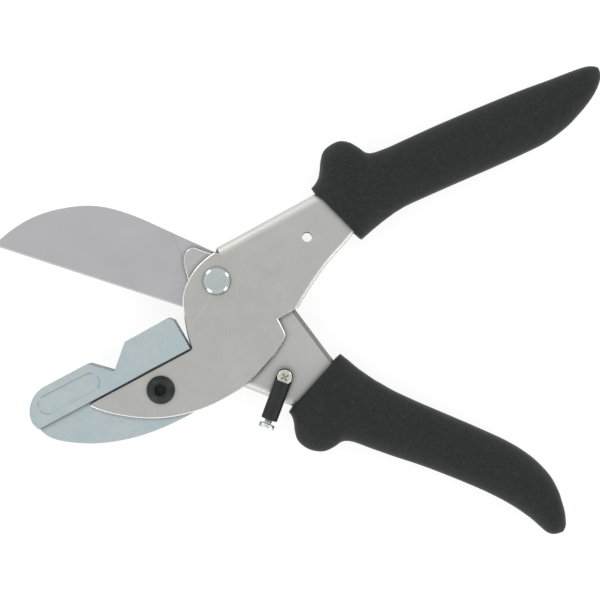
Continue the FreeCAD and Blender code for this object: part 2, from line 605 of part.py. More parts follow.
head = cyl(LOCK[0], LOCK[1], 2.8, LOCK_AXIS_Z, LOCK_AXIS_Z + 2.5)
top = [e for e in head.Edges if abs(e.BoundBox.ZMin - (LOCK_AXIS_Z + 2.5)) < 1e-3 and e.BoundBox.ZLength < 1e-3]
head = round_edges(head, top, 0.45, "lock screw head")
c = [along(LOCK_FLAT, -6), along(9, -6), along(9, 6), along(LOCK_FLAT, 6)]
head = head.cut(plate([("L", c + [c[0]])], 0, 20))
a1 = math.radians(LOCK_DIR + 45)
for ang in (LOCK_DIR + 45, LOCK_DIR - 45):
    qx, qy = unit(ang)
    q = [(LOCK[0] + qx * s + -qy * o, LOCK[1] + qy * s + qx * o) for s, o in ((-1.55, -0.3), (1.55, -0.3), (1.55, 0.3), (-1.55, 0.3))]
    head = head.cut(plate([("L", q + [q[0]])], LOCK_AXIS_Z + 1.5, LOCK_AXIS_Z + 4))
screw = head.fuse(cyl(LOCK[0], LOCK[1], LOCK_SHANK_R, -K - 0.05 - 2.2 - 0.3, LOCK_AXIS_Z)).removeSplitter()
keep("lock_screw", screw)
keep("lock_washer", ring(LOCK[0], LOCK[1], LOCK_SHANK_R, 3.4, K + 0.05, K + 0.4))
ln = hexagon(LOCK[0], LOCK[1], 7.0, -K - 0.05 - 2.2, -K - 0.05)
ln = ln.common(Part.makeCone(3.6, 5.2, 2.4, V(LOCK[0], LOCK[1], -K - 2.25), V(0, 0, 1)))
keep("lock_nut", ln.cut(cyl(LOCK[0], LOCK[1], LOCK_SHANK_R, -20, 0)))
keep("lock_spacer", ring(LOCK[0], LOCK[1], LOCK_SHANK_R + RUN, 3.5, -k, k))

# ---- adjusting screw in the end of the bar ------------------------------------------------------
a0 = along(LOCK_BAR_L - 9.0)
adj = Part.makeCylinder(ADJ_R, 10.6, V(a0[0], a0[1], LOCK_AXIS_Z), V(lx, ly, 0))
h0 = along(LOCK_BAR_L + 1.55)
hd = Part.makeCylinder(ADJ_HEAD_R, 1.9, V(h0[0], h0[1], LOCK_AXIS_Z), V(lx, ly, 0))
hd = round_edges(hd, [e for e in hd.Edges if e.Curve.TypeId == "Part::GeomCircle"], 0.3, "adjusting head")
adj = adj.fuse(hd).removeSplitter()
s0_, s1_ = LOCK_BAR_L + 1.55 + 1.3, LOCK_BAR_L + 6
c = [along(s0_, -0.35), along(s1_, -0.35), along(s1_, 0.35), along(s0_, 0.35)]
adj = adj.cut(plate([("L", c + [c[0]])], 0, 20))
keep("adjusting_screw", adj)

# ---- place in the row frame and write -------------------------------------------------------------
box = FreeCAD.BoundBox()
for name, s in PIECES.items():
    b = s.optimalBoundingBox(False)
    box.add(b)
    print("%-16s solids %d valid %s vol %.1f  z %.2f..%.2f" % (name, len(s.Solids), s.isValid(), s.Volume, b.ZMin, b.ZMax))
print("box", [round(v, 3) for v in (box.XMin, box.XMax, box.YMin, box.YMax, box.ZMin, box.ZMax)])
print("centre", round((box.XMin + box.XMax) / 2, 3), round((box.YMin + box.YMax) / 2, 3))
for name, s in PIECES.items():
    s = s.copy()
    s.translate(SHIFT)
    s.exportStep(os.path.join(OUT, name + ".step"))
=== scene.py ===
import bpy
import bmesh
import json
import math
import random

from mathutils import Vector, Matrix


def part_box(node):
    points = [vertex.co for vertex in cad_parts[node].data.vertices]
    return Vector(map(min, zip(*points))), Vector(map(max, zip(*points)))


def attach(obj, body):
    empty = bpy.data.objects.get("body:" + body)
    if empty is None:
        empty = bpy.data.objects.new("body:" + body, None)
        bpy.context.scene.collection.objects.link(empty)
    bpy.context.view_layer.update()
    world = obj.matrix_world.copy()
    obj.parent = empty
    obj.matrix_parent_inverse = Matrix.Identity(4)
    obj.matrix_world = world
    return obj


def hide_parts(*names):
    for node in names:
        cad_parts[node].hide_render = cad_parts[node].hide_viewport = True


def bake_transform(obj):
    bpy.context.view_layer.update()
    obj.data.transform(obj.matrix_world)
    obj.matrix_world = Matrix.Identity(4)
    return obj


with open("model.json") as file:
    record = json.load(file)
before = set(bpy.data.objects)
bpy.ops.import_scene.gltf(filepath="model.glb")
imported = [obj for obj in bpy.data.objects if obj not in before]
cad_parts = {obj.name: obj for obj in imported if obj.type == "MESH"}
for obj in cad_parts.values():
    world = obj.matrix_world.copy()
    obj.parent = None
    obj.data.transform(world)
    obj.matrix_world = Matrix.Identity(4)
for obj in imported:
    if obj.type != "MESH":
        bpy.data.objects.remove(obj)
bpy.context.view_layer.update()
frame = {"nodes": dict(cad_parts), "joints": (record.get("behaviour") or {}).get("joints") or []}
NODES = frame["nodes"]
scene = bpy.context.scene
MM = 0.001

# working frame of the drawing (pivot axis at 0,0) -> row frame
PIVOT = Vector(frame["joints"][0]["pos_m"])


def P(x, y, z=0.0):
    """Drawing millimetres, measured from the pivot, to row metres."""
    return Vector((PIVOT.x + x * MM, PIVOT.y + y * MM, PIVOT.z + z * MM))


# ------------------------------------------------------------------ node helper
class Mat:
    def __init__(self, name):
        self.m = bpy.data.materials.new(name)
        self.m.use_nodes = True
        self.t = self.m.node_tree
        self.t.nodes.clear()
        self.out = self.t.nodes.new("ShaderNodeOutputMaterial")
        self.b = self.t.nodes.new("ShaderNodeBsdfPrincipled")
        self.t.links.new(self.b.outputs[0], self.out.inputs[0])
        self.tc = self.t.nodes.new("ShaderNodeTexCoord")
        self.obj = self.tc.outputs["Object"]

    def n(self, kind, **props):
        node = self.t.nodes.new(kind)
        for k, v in props.items():
            setattr(node, k, v)
        return node

    def link(self, a, b):
        self.t.links.new(a, b)

    def mm(self, rot=0.0, scale=(1, 1, 1)):
        """Object coordinates in millimetres, turned by rot degrees about Z, then scaled."""
        a = self.n("ShaderNodeMapping", vector_type="TEXTURE")
        a.inputs["Rotation"].default_value = (0, 0, math.radians(rot))
        a.inputs["Scale"].default_value = (MM, MM, MM)
        self.link(self.obj, a.inputs["Vector"])
        b = self.n("ShaderNodeMapping", vector_type="POINT")
        b.inputs["Scale"].default_value = scale
        self.link(a.outputs[0], b.inputs["Vector"])
        return b.outputs[0]

    def noise(self, vec, scale, detail=3.0, rough=0.5, distortion=0.0):
        a = self.n("ShaderNodeTexNoise")
        a.inputs["Scale"].default_value = scale
        a.inputs["Detail"].default_value = detail
        a.inputs["Roughness"].default_value = rough
        a.inputs["Distortion"].default_value = distortion
        self.link(vec, a.inputs["Vector"])
        return a.outputs["Fac"]

    def voronoi(self, vec, scale, feature="F1"):
        a = self.n("ShaderNodeTexVoronoi", feature=feature)
        a.inputs["Scale"].default_value = scale
        self.link(vec, a.inputs["Vector"])
        return a.outputs["Distance"]

    def ramp(self, fac, stops):
        a = self.n("ShaderNodeValToRGB")
        e = a.color_ramp.elements
        while len(e) < len(stops):
            e.new(0.5)
        for el, (pos, col) in zip(e, stops):
            el.position = pos
            el.color = col if len(col) == 4 else tuple(col) + (1,)
        self.link(fac, a.inputs[0])
        return a.outputs[0]

    def span(self, fac, lo, hi, a=0.0, b=1.0):
        m = self.n("ShaderNodeMapRange")
        m.inputs[1].default_value = a
        m.inputs[2].default_value = b
        m.inputs[3].default_value = lo
        m.inputs[4].default_value = hi
        self.link(fac, m.inputs[0])
        return m.outputs[0]

    def math(self, op, a, b=None, clamp=False):
        m = self.n("ShaderNodeMath", operation=op)
        m.use_clamp = clamp
        for i, v in enumerate((a, b)):
            if v is None:
                continue
            if isinstance(v, (int, float)):
                m.inputs[i].default_value = v
            else:
                self.link(v, m.inputs[i])
        return m.outputs[0]

    def mix(self, fac, a, b, blend="MIX"):
        m = self.n("ShaderNodeMix", data_type="RGBA", blend_type=blend)
        for i, v in ((0, fac), (6, a), (7, b)):
            if isinstance(v, (int, float)):
                m.inputs[i].default_value = v
            elif isinstance(v, tuple):
                m.inputs[i].default_value = v if len(v) == 4 else v + (1,)
            else:
                self.link(v, m.inputs[i])
        return m.outputs[2]

    def bump(self, height, strength, dist_mm, prev=None):
        b = self.n("ShaderNodeBump")
        b.inputs["Strength"].default_value = strength
        b.inputs["Distance"].default_value = dist_mm * MM
        self.link(height, b.inputs["Height"])
        if prev is not None:
            self.link(prev, b.inputs["Normal"])
        return b.outputs[0]

    def ao(self, dist_mm=2.5, lo=0.25, samples=8):
        """Painted shade factor: 1 in the open, falling towards lo in corners and gaps."""
        a = self.n("ShaderNodeAmbientOcclusion", samples=samples)
        a.inputs["Distance"].default_value = dist_mm * MM
        return self.span(a.outputs["AO"], lo, 1.0, 0.15, 0.92)

    def shade(self, col, fac):
        """The colour darkened by a factor: this paints shade into the colour."""
        m = self.n("ShaderNodeMix", data_type="RGBA", blend_type="MULTIPLY")
        m.inputs[0].default_value = 1.0
        self.link(col, m.inputs[6])
        c = self.n("ShaderNodeCombineColor")
        for k in range(3):
            self.link(fac, c.inputs[k])
        self.link(c.outputs[0], m.inputs[7])
        return m.outputs[2]

    def up(self):
        """How far the surface faces up or down: 1 flat, 0 for a side face."""
        sp = self.n("ShaderNodeSeparateXYZ")
        self.link(self.tc.outputs["Normal"], sp.inputs[0])
        return self.math("ABSOLUTE", sp.outputs[2])

    def set(self, **kw):
        names = {"color": "Base Color", "metal": "Metallic", "rough": "Roughness", "normal": "Normal",
                 "aniso": "Anisotropic", "sheen": "Sheen Weight", "sheen_rough": "Sheen Roughness",
                 "coat": "Coat Weight", "coat_rough": "Coat Roughness", "spec": "Specular IOR Level",
                 "ior": "IOR", "tangent": "Tangent", "aniso_rot": "Anisotropic Rotation",
                 "coat_normal": "Coat Normal"}
        for k, v in kw.items():
            s = self.b.inputs[names[k]]
            if isinstance(v, (int, float)):
                s.default_value = v
            elif isinstance(v, tuple):
                s.default_value = v if len(v) == 4 else v + (1,)
            else:
                self.link(v, s)
        return self.m


def scratches(m, rot, density, width):
    """Thin, sparse, slightly bent lines: 1 on a scratch."""
    vec = m.mm(rot, (0.05, 1.0, 1.0))
    warp = m.noise(m.mm(rot, (0.2, 0.2, 0.2)), 0.35, 2.0)
    add = m.n("ShaderNodeVectorMath", operation="ADD")
    sc = m.n("ShaderNodeVectorMath", operation="SCALE")
    comb = m.n("ShaderNodeCombineXYZ")
    m.link(warp, comb.inputs[1])
    m.link(comb.outputs[0], sc.inputs[0])
    sc.inputs["Scale"].default_value = 3.0
    m.link(vec, add.inputs[0])
    m.link(sc.outputs[0], add.inputs[1])
    v = m.voronoi(add.outputs[0], density, "DISTANCE_TO_EDGE")
    return m.span(v, 1.0, 0.0, 0.0, width)


# ------------------------------------------------------------------ materials
def sheet_steel(name, base, grain_rot, wide_shade_mm=None):
    m = Mat(name)
    cloud = m.noise(m.mm(0, (1, 1, 1)), 0.035, 3.0, 0.55)
    cloud2 = m.noise(m.mm(30, (1, 1, 1)), 0.13, 4.0, 0.6)
    grain = m.noise(m.mm(grain_rot, (0.05, 1.0, 1.0)), 2.2, 4.0, 0.6)
    c = m.ramp(cloud, [(0.32, tuple(v * 0.95 for v in base)), (0.68, tuple(min(1, v * 1.045) for v in base))])
    c = m.mix(0.45, c, m.ramp(cloud2, [(0.3, (base[0] * 0.95, base[1] * 0.955, base[2] * 0.98)),
                                       (0.7, (base[0] * 1.03, base[1] * 1.025, base[2] * 1.0))]))
    c = m.mix(m.span(grain, 0.0, 0.10, 0.35, 0.7), c, tuple(v * 0.82 for v in base))
    sc = m.math("MAXIMUM", scratches(m, grain_rot + 24, 0.10, 0.010), scratches(m, grain_rot - 38, 0.07, 0.008))
    c = m.mix(m.math("MULTIPLY", sc, 0.12), c, (0.74, 0.74, 0.73))
    # painted shade: darker in corners and gaps
    c = m.shade(c, m.ao(2.2, 0.22))
    # optional painted shade: a second, wider darkening near neighbouring parts, its reach in mm
    if wide_shade_mm:
        c = m.shade(c, m.ao(wide_shade_mm, 0.74))
    r = m.span(grain, 0.31, 0.38, 0.3, 0.7)
    r = m.math("ADD", r, m.span(cloud2, -0.02, 0.03, 0.3, 0.7))
    nrm = m.bump(grain, 0.06, 0.015)
    nrm = m.bump(m.math("MULTIPLY", sc, -1.0), 0.06, 0.015, nrm)
    return m.set(color=c, metal=1.0, rough=r, normal=nrm)


# colour factors by how flat the surface faces (0 side, 1 flat): painted shade down the sides, painted highlight where
# the edge turns towards flat
TILT_SHADE_HIGHLIGHT = ((0.48, 0.75), (0.70, 1.3), (0.82, 3.5), (0.94, 3.8), (0.995, 2.7))
TILT_SHADE_HIGHLIGHT_ZINC = ((0.45, 0.6), (0.78, 1.0), (0.92, 1.8), (0.995, 2.6))


def cut_edge(name, base, dark, turn=TILT_SHADE_HIGHLIGHT, rough=(0.30, 0.44)):
    """Sheared or tumbled edge of a blank: real torn texture, with colour painted by tilt, a painted highlight where it
    turns over towards flat and painted shade, dull and dark, down the side.
    """
    m = Mat(name)
    tear = m.noise(m.mm(0, (1, 1, 0.25)), 2.6, 4.0, 0.65)
    # painted highlight and painted shade by tilt; dark lowers the whole edge, partly the duller sheared surface, partly
    # painted shade
    c = m.ramp(m.up(), [(pos, tuple(min(1, v * dark * k) for v in base)) for pos, k in turn])
    c = m.mix(m.span(tear, 0.0, 0.16, 0.35, 0.75), c, tuple(v * dark * 0.9 for v in base))
    # painted shade in corners and gaps
    c = m.shade(c, m.ao(2.0, 0.25))
    r = m.span(tear, rough[0], rough[1], 0.3, 0.7)
    return m.set(color=c, metal=1.0, rough=r, normal=m.bump(tear, 0.15, 0.03))


def blade_steel():
    base = (0.548, 0.546, 0.559)
    m = Mat("blade_ground_steel")
    # grinding marks run square to the cutting edge
    grind = m.noise(m.mm(71.9, (0.035, 1.0, 1.0)), 3.0, 5.0, 0.7)
    band = m.noise(m.mm(71.9, (0.01, 0.25, 0.25)), 0.9, 2.0, 0.5)
    cloud = m.noise(m.mm(0, (1, 1, 1)), 0.05, 3.0, 0.5)
    c = m.ramp(cloud, [(0.3, tuple(v * 0.95 for v in base)), (0.7, tuple(v * 1.04 for v in base))])
    c = m.mix(m.span(grind, 0.0, 0.12, 0.35, 0.75), c, tuple(v * 0.84 for v in base))
    c = m.mix(m.span(band, 0.0, 0.10, 0.35, 0.7), c, (0.63, 0.627, 0.645))
    # the honed strip along the edge
    sep = m.n("ShaderNodeSeparateXYZ")
    m.link(m.mm(0), sep.inputs[0])
    ex, ey = math.cos(math.radians(161.97)), math.sin(math.radians(161.97))
    nx, ny = ey, -ex                       # square to the edge, into the blade (up)
    if ny < 0:
        nx, ny = -nx, -ny
    hx, hy = PIVOT.x / MM - 13.02, PIVOT.y / MM - 9.71
    d = m.math("ADD", m.math("MULTIPLY", sep.outputs[0], nx), m.math("MULTIPLY", sep.outputs[1], ny))
    d = m.math("SUBTRACT", d, hx * nx + hy * ny)
    wob = m.math("MULTIPLY", m.math("SUBTRACT", m.noise(m.mm(0), 0.5, 2.0), 0.5), 0.18)
    hone = m.span(m.math("ADD", d, wob), 1.0, 0.0, 0.55, 0.72)
    c = m.mix(m.math("MULTIPLY", hone, 0.55), c, (0.82, 0.82, 0.84))
    # painted shade in corners and gaps
    c = m.shade(c, m.ao(2.4, 0.25))
    r = m.span(grind, 0.29, 0.37, 0.3, 0.7)
    r = m.math("SUBTRACT", r, m.math("MULTIPLY", hone, 0.06))
    nrm = m.bump(grind, 0.07, 0.015)
    return m.set(color=c, metal=1.0, rough=r, normal=nrm)


def zinc(name="zinc_plate", base=(0.570, 0.645, 0.660), rough=0.34, tint=1.0):
    m = Mat(name)
    cloud = m.noise(m.mm(0), 0.055, 3.0, 0.6, 0.8)
    patch = m.noise(m.mm(17), 0.24, 5.0, 0.68, 0.5)
    speck = m.noise(m.mm(0), 0.75, 5.0, 0.7)
    fine = m.noise(m.mm(0), 2.4, 4.0, 0.65)
    blue = (base[0] * 0.93, base[1] * 0.975, base[2] * 1.0)
    beige = (base[0] * 1.05, base[1] * 1.03, base[2] * 0.97)
    c = m.ramp(cloud, [(0.36, blue), (0.5, base), (0.62, beige)])
    c = m.mix(m.span(patch, 0.0, 0.62 * tint, 0.44, 0.64), c, tuple(v * k for v, k in zip(blue, (0.85, 0.90, 0.93))))
    c = m.mix(m.span(speck, 0.0, 0.30 * tint, 0.50, 0.70), c, tuple(min(1, v * k) for v, k in zip(beige, (1.10, 1.09, 1.07))))
    c = m.mix(m.span(fine, 0.0, 0.26 * tint, 0.48, 0.72), c, tuple(v * 0.78 for v in base))
    # painted shade in corners and gaps
    c = m.shade(c, m.ao(1.8, 0.30))
    r = m.math("ADD", m.span(fine, rough - 0.04, rough + 0.08, 0.3, 0.75), m.span(patch, -0.05, 0.05, 0.3, 0.7))
    nrm = m.bump(fine, 0.12, 0.025)
    nrm = m.bump(speck, 0.10, 0.04, nrm)
    return m.set(color=c, metal=1.0, rough=r, normal=nrm)


def black_oxide():
    m = Mat("black_oxide")
    fine = m.noise(m.mm(0), 3.0, 4.0, 0.7)
    cloud = m.noise(m.mm(0), 0.45, 3.0, 0.6)
    c = m.ramp(cloud, [(0.3, (0.014, 0.016, 0.0155)), (0.7, (0.022, 0.0245, 0.0235))])
    c = m.mix(m.span(fine, 0.0, 0.4, 0.5, 0.85), c, (0.045, 0.049, 0.047))
    # painted shade in corners and gaps
    c = m.shade(c, m.ao(2.5, 0.15))
    r = m.span(fine, 0.40, 0.54, 0.3, 0.7)
    nrm = m.bump(fine, 0.14, 0.03)
    return m.set(color=c, metal=0.25, rough=r, normal=nrm, spec=0.32)


def nickel():
    m = Mat("nickel_plate")
    cloud = m.noise(m.mm(0), 0.7, 3.0, 0.6)
    fine = m.noise(m.mm(0), 5.0, 3.0, 0.6)
    c = m.ramp(cloud, [(0.3, (0.68, 0.675, 0.575)), (0.7, (0.77, 0.765, 0.665))])
    c = m.mix(m.span(fine, 0.0, 0.3, 0.5, 0.8), c, (0.40, 0.395, 0.33))
    # painted shade: side faces darker by tilt; below, darker in corners and gaps
    c = m.mix(m.span(m.up(), 1.0, 0.0, 0.12, 0.62), c, (0.36, 0.355, 0.31))
    c = m.shade(c, m.ao(1.4, 0.30))
    r = m.span(fine, 0.18, 0.30, 0.3, 0.7)
    nrm = m.bump(fine, 0.08, 0.015)
    return m.set(color=c, metal=1.0, rough=r, normal=nrm)


def bright_nickel():
    m = Mat("bright_nickel_plate")
    cloud = m.noise(m.mm(0), 0.9, 3.0, 0.6)
    fine = m.noise(m.mm(0), 5.0, 3.0, 0.6)
    c = m.ramp(cloud, [(0.3, (0.66, 0.675, 0.655)), (0.7, (0.74, 0.755, 0.735))])
    # painted shade: side faces darker by tilt; below, darker in corners and gaps
    c = m.mix(m.span(m.up(), 1.0, 0.0, 0.10, 0.55), c, (0.24, 0.25, 0.245))
    c = m.shade(c, m.ao(1.2, 0.10))
    r = m.span(fine, 0.22, 0.34, 0.3, 0.7)
    return m.set(color=c, metal=1.0, rough=r, normal=m.bump(fine, 0.08, 0.015))


def spring_steel():
    m = Mat("spring_steel")
    fine = m.noise(m.mm(0), 3.0, 4.0, 0.6)
    c = m.ramp(fine, [(0.3, (0.20, 0.20, 0.21)), (0.7, (0.34, 0.34, 0.35))])
    r = m.span(fine, 0.28, 0.42, 0.3, 0.7)
    return m.set(color=c, metal=1.0, rough=r, normal=m.bump(fine, 0.1, 0.02))


def bronze():
    m = Mat("sintered_bronze")
    fine = m.noise(m.mm(0), 2.5, 4.0, 0.6)
    c = m.ramp(fine, [(0.3, (0.42, 0.27, 0.13)), (0.7, (0.58, 0.40, 0.20))])
    r = m.span(fine, 0.35, 0.5, 0.3, 0.7)
    return m.set(color=c, metal=1.0, rough=r, normal=m.bump(fine, 0.15, 0.03))


def grip_plastic():
    m = Mat("grip_black_plastic")
    speck = m.noise(m.mm(0), 1.5, 3.0, 0.65)
    pebble = m.voronoi(m.mm(0), 1.15, "SMOOTH_F1")
    cloud = m.noise(m.mm(0), 0.06, 3.0, 0.55)
    c = m.ramp(cloud, [(0.3, (0.0100, 0.0130, 0.0122)), (0.7, (0.0130, 0.0162, 0.0152))])
    c = m.mix(m.span(m.noise(m.mm(0), 0.62, 3.0, 0.6), 0.0, 0.55, 0.46, 0.68), c, (0.0225, 0.0265, 0.0250))
    c = m.mix(m.span(speck, 0.0, 0.60, 0.50, 0.76), c, (0.034, 0.039, 0.037))
    # painted shade: darker in the hollows of the pebble grain
    c = m.mix(m.span(pebble, 0.50, 0.0, 0.0, 0.30), c, (0.005, 0.007, 0.0065))
    # painted shade in corners and gaps
    c = m.shade(c, m.ao(3.0, 0.45))
    r = m.math("ADD", m.span(speck, 0.52, 0.66, 0.3, 0.7), m.span(cloud, -0.04, 0.04, 0.3, 0.7))
    nrm = m.bump(pebble, 0.45, 0.09)
    nrm = m.bump(speck, 0.35, 0.06, nrm)
    return m.set(color=c, metal=0.0, rough=r, normal=nrm, spec=0.22, sheen=0.015, sheen_rough=0.4)


STEEL_UP = sheet_steel("frame_sheet_steel", (0.556, 0.556, 0.532), 118.0)
STEEL_LO = sheet_steel("lever_sheet_steel", (0.572, 0.577, 0.567), 68.0, 9.0)
# edge materials: colour painted by tilt, painted shade on side faces and painted highlights where they turn flat
EDGE = cut_edge("sheared_steel_edge", (0.60, 0.598, 0.585), 0.36)
# painted shade down the lever's rounded rim, with a painted highlight where it turns flat
RIM = cut_edge("lever_rim", (0.56, 0.555, 0.545), 0.28, ((0.0, 0.9), (0.55, 1.0), (0.93, 1.1), (0.985, 1.7), (0.999, 3.2)))
BLADE = blade_steel()
BLADE_EDGE = cut_edge("blade_spine", (0.56, 0.555, 0.57), 0.40)
ZINC = zinc()
ZINC_EDGE = cut_edge("zinc_sheared_edge", (0.56, 0.635, 0.655), 0.38, TILT_SHADE_HIGHLIGHT_ZINC)
ZINC_RIVET = zinc("zinc_rivet", (0.585, 0.635, 0.628), 0.28, 0.4)
# painted shade on the rivet head's sloped rim, lighter towards flat
RIVET_RIM = cut_edge("rivet_rim", (0.60, 0.64, 0.635), 0.50, ((0.5, 0.8), (0.70, 1.25), (0.88, 1.4), (0.995, 2.0)), (0.15, 0.22))
# painted highlight: a bright copy of the steel for the top chamfer faces
CHAMFER_HIGHLIGHT = cut_edge("chamfer_painted_highlight", (0.80, 0.798, 0.785), 1.0, ((0.3, 0.85), (0.66, 1.02), (0.80, 1.05), (0.995, 0.8)))
# painted shade: a dark copy of the zinc for the anvil's sloped chamfer and fillet faces
ZINC_SLOPE_SHADE = cut_edge("zinc_slope_painted_shade", (0.38, 0.44, 0.455), 1.0, ((0.2, 0.5), (0.60, 0.65), (0.85, 0.85), (0.99, 1.3)))
# painted shade: a dark copy of the blade steel for the sloped shoulder faces of the grind
BLADE_STEP_SHADE = cut_edge("blade_step_painted_shade", (0.50, 0.50, 0.54), 0.62, ((0.3, 0.8), (0.62, 0.95), (0.80, 1.1), (0.995, 1.5)))
BLACK = black_oxide()
NICKEL = nickel()
BRIGHT = bright_nickel()
SPRING = spring_steel()
BRONZE = bronze()
GRIP = grip_plastic()


# ------------------------------------------------------------------ CAD nodes: materials and softened edges
def dress(node, mat, bevel=0.0, angle=32.0, segments=2, sharp=0.0, edge=None, clamp=True, webs=(), rim=None, slope=None):
    """Material plus softened edges: the CAD mesh itself stays as it is.  With an edge
    material the side faces of a blank, and its softened edges, get that material;
    webs are directions (degrees) of side faces that keep the sheet's own surface."""
    o = NODES[node]
    o.data.materials.clear()
    o.data.materials.append(mat)
    if edge:
        o.data.materials.append(edge)
    if slope:
        o.data.materials.append(slope[0])
    keepers = [Vector((math.cos(math.radians(w)), math.sin(math.radians(w)), 0)) for w in webs]
    for p in o.data.polygons:
        p.use_smooth = True
        p.material_index = 0
        if edge and abs(p.normal.z) < 0.02 and not any(p.normal.dot(w) > 0.999 for w in keepers):
            p.material_index = 1
        if slope and slope[1] < abs(p.normal.z) < slope[2] and (
                len(slope) < 4 or abs(abs((o.matrix_world @ p.center).z - PIVOT.z) / MM - slope[3]) < 0.07):
            p.material_index = len(o.data.materials) - 1
        if rim:
            r = Vector((math.cos(math.radians(rim[1])), math.sin(math.radians(rim[1])), 0))
            flat_n = Vector((p.normal.x, p.normal.y, 0))
            if 0.004 < abs(p.normal.z) < 0.9999 and flat_n.length > 1e-4 and flat_n.normalized().dot(r) > 0.995:
                p.material_index = len(o.data.materials)
    if rim:
        o.data.materials.append(rim[0])
    w = o.modifiers.new("weld", "WELD")
    w.merge_threshold = 2e-6
    d = o.modifiers.new("flat", "DECIMATE")
    d.decimate_type = "DISSOLVE"
    d.angle_limit = math.radians(0.25)
    d.delimit = set()
    if bevel > 0:
        b = o.modifiers.new("edges", "BEVEL")
        b.width = bevel * MM
        b.segments = segments
        b.limit_method = "ANGLE"
        b.angle_limit = math.radians(angle)
        b.use_clamp_overlap = clamp
        b.miter_outer = "MITER_ARC"
        if edge:
            b.material = 1
    if sharp and not bevel:
        cut = o.modifiers.new("corners", "EDGE_SPLIT")
        cut.split_angle = math.radians(sharp)
    wn = o.modifiers.new("normals", "WEIGHTED_NORMAL")
    wn.mode = "FACE_AREA"
    wn.weight = 100
    wn.thresh = 0.001
    wn.keep_sharp = bool(sharp)
    if sharp and hasattr(o.data, "set_sharp_from_angle"):
        o.data.set_sharp_from_angle(angle=math.radians(sharp))
    return o


# slope materials paint a highlight on the chamfers and shade on sloped faces; edge and rim materials paint shade and
# highlight by tilt
dress("handle_frame", STEEL_UP, sharp=28, edge=EDGE, webs=(118.7, 112.6), slope=(CHAMFER_HIGHLIGHT, 0.69, 0.72, 5.61))
dress("lever_handle", STEEL_LO, sharp=28, edge=EDGE, webs=(248.4,), rim=(RIM, 36.9), slope=(CHAMFER_HIGHLIGHT, 0.69, 0.72, 3.35))
dress("blade", BLADE, 0.20, segments=3, sharp=1.2, angle=60, edge=BLADE_EDGE, slope=(BLADE_STEP_SHADE, 0.35, 0.9))
dress("anvil", ZINC, sharp=28, edge=ZINC_EDGE, slope=(ZINC_SLOPE_SHADE, 0.15, 0.985))
dress("anvil_bolt", BLACK, 0.18)
dress("anvil_nut", BLACK, 0.15)
dress("pivot_rivet", ZINC_RIVET, 0.22, slope=(RIVET_RIM, 0.2, 0.97))
dress("pivot_bush", BRONZE, 0.1)
dress("pivot_shims", SPRING, 0.05)
dress("blade_rivets", STEEL_LO, 0.1)
dress("lock_spacer", ZINC_RIVET, 0.1)
dress("lock_bar", BLACK, 0.22)
dress("lock_screw", NICKEL, 0.10)
dress("lock_washer", NICKEL, 0.05)
dress("lock_nut", NICKEL, 0.12)


# ------------------------------------------------------------------ mesh helpers
def new_object(name, verts, faces, mat, body, smooth=True):
    me = bpy.data.meshes.new(name)
    me.from_pydata([tuple(v) for v in verts], [], faces)
    me.validate()
    bm = bmesh.new()
    bm.from_mesh(me)
    bmesh.ops.recalc_face_normals(bm, faces=bm.faces)
    bm.to_mesh(me)
    bm.free()
    for p in me.polygons:
        p.use_smooth = smooth
    me.materials.append(mat)
    o = bpy.data.objects.new(name, me)
    scene.collection.objects.link(o)
    if body:
        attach(o, body)
    return o


def catmull(rows, per):
    """Smooth rows of numbers through the given rows, per steps between two of them."""
    out = []
    n = len(rows)
    for i in range(n - 1):
        p0 = rows[max(i - 1, 0)]
        p1, p2 = rows[i], rows[i + 1]
        p3 = rows[min(i + 2, n - 1)]
        for j in range(per):
            t = j / per
            out.append([0.5 * (2 * b + (c - a) * t + (2 * a - 5 * b + 4 * c - d) * t * t + (-a + 3 * b - 3 * c + d) * t ** 3)
                        for a, b, c, d in zip(p0, p1, p2, p3)])
    out.append(list(rows[-1]))
    return out


# ------------------------------------------------------------------ grips
# stations along each grip: outer point, inner point (millimetres from the pivot), thickness factor
UP = [((35.1, 34.54), (53.92, 15.38), 0.93), ((36.6, 36.23), (55.5, 16.76), 1.0),
      ((37.87, 38.59), (57.15, 18.23), 1.03), ((38.36, 41.51), (58.42, 19.35), 1.04),
      ((38.7, 45.0), (59.55, 20.25), 1.04), ((39.71, 48.41), (60.56, 21.11), 1.03),
      ((42.34, 50.93), (61.91, 22.2), 1.01), ((45.79, 52.39), (63.37, 23.33), 0.99),
      ((49.39, 51.9), (64.35, 24.04), 0.98), ((52.39, 50.29), (65.33, 24.75), 0.97),
      ((56.59, 47.89), (66.94, 25.91), 0.96), ((62.85, 49.61), (71.62, 28.58), 0.96),
      ((71.4, 53.44), (80.14, 32.44), 0.97), ((81.67, 58.09), (90.45, 36.98), 0.97),
      ((93.71, 63.26), (102.49, 42.19), 0.95), ((105.86, 68.29), (114.49, 47.59), 0.93),
      ((115.27, 72.0), (123.52, 52.12), 0.92), ((123.38, 74.96), (130.65, 57.49), 0.9),
      ((128.66, 76.99), (134.93, 61.84), 0.88), ((133.88, 78.98), (138.64, 66.23), 0.84),
      ((137.81, 80.21), (141.04, 69.79), 0.76), ((140.46, 80.44), (142.60, 73.00), 0.60),
      ((142.20, 80.10), (143.42, 75.60), 0.42)]
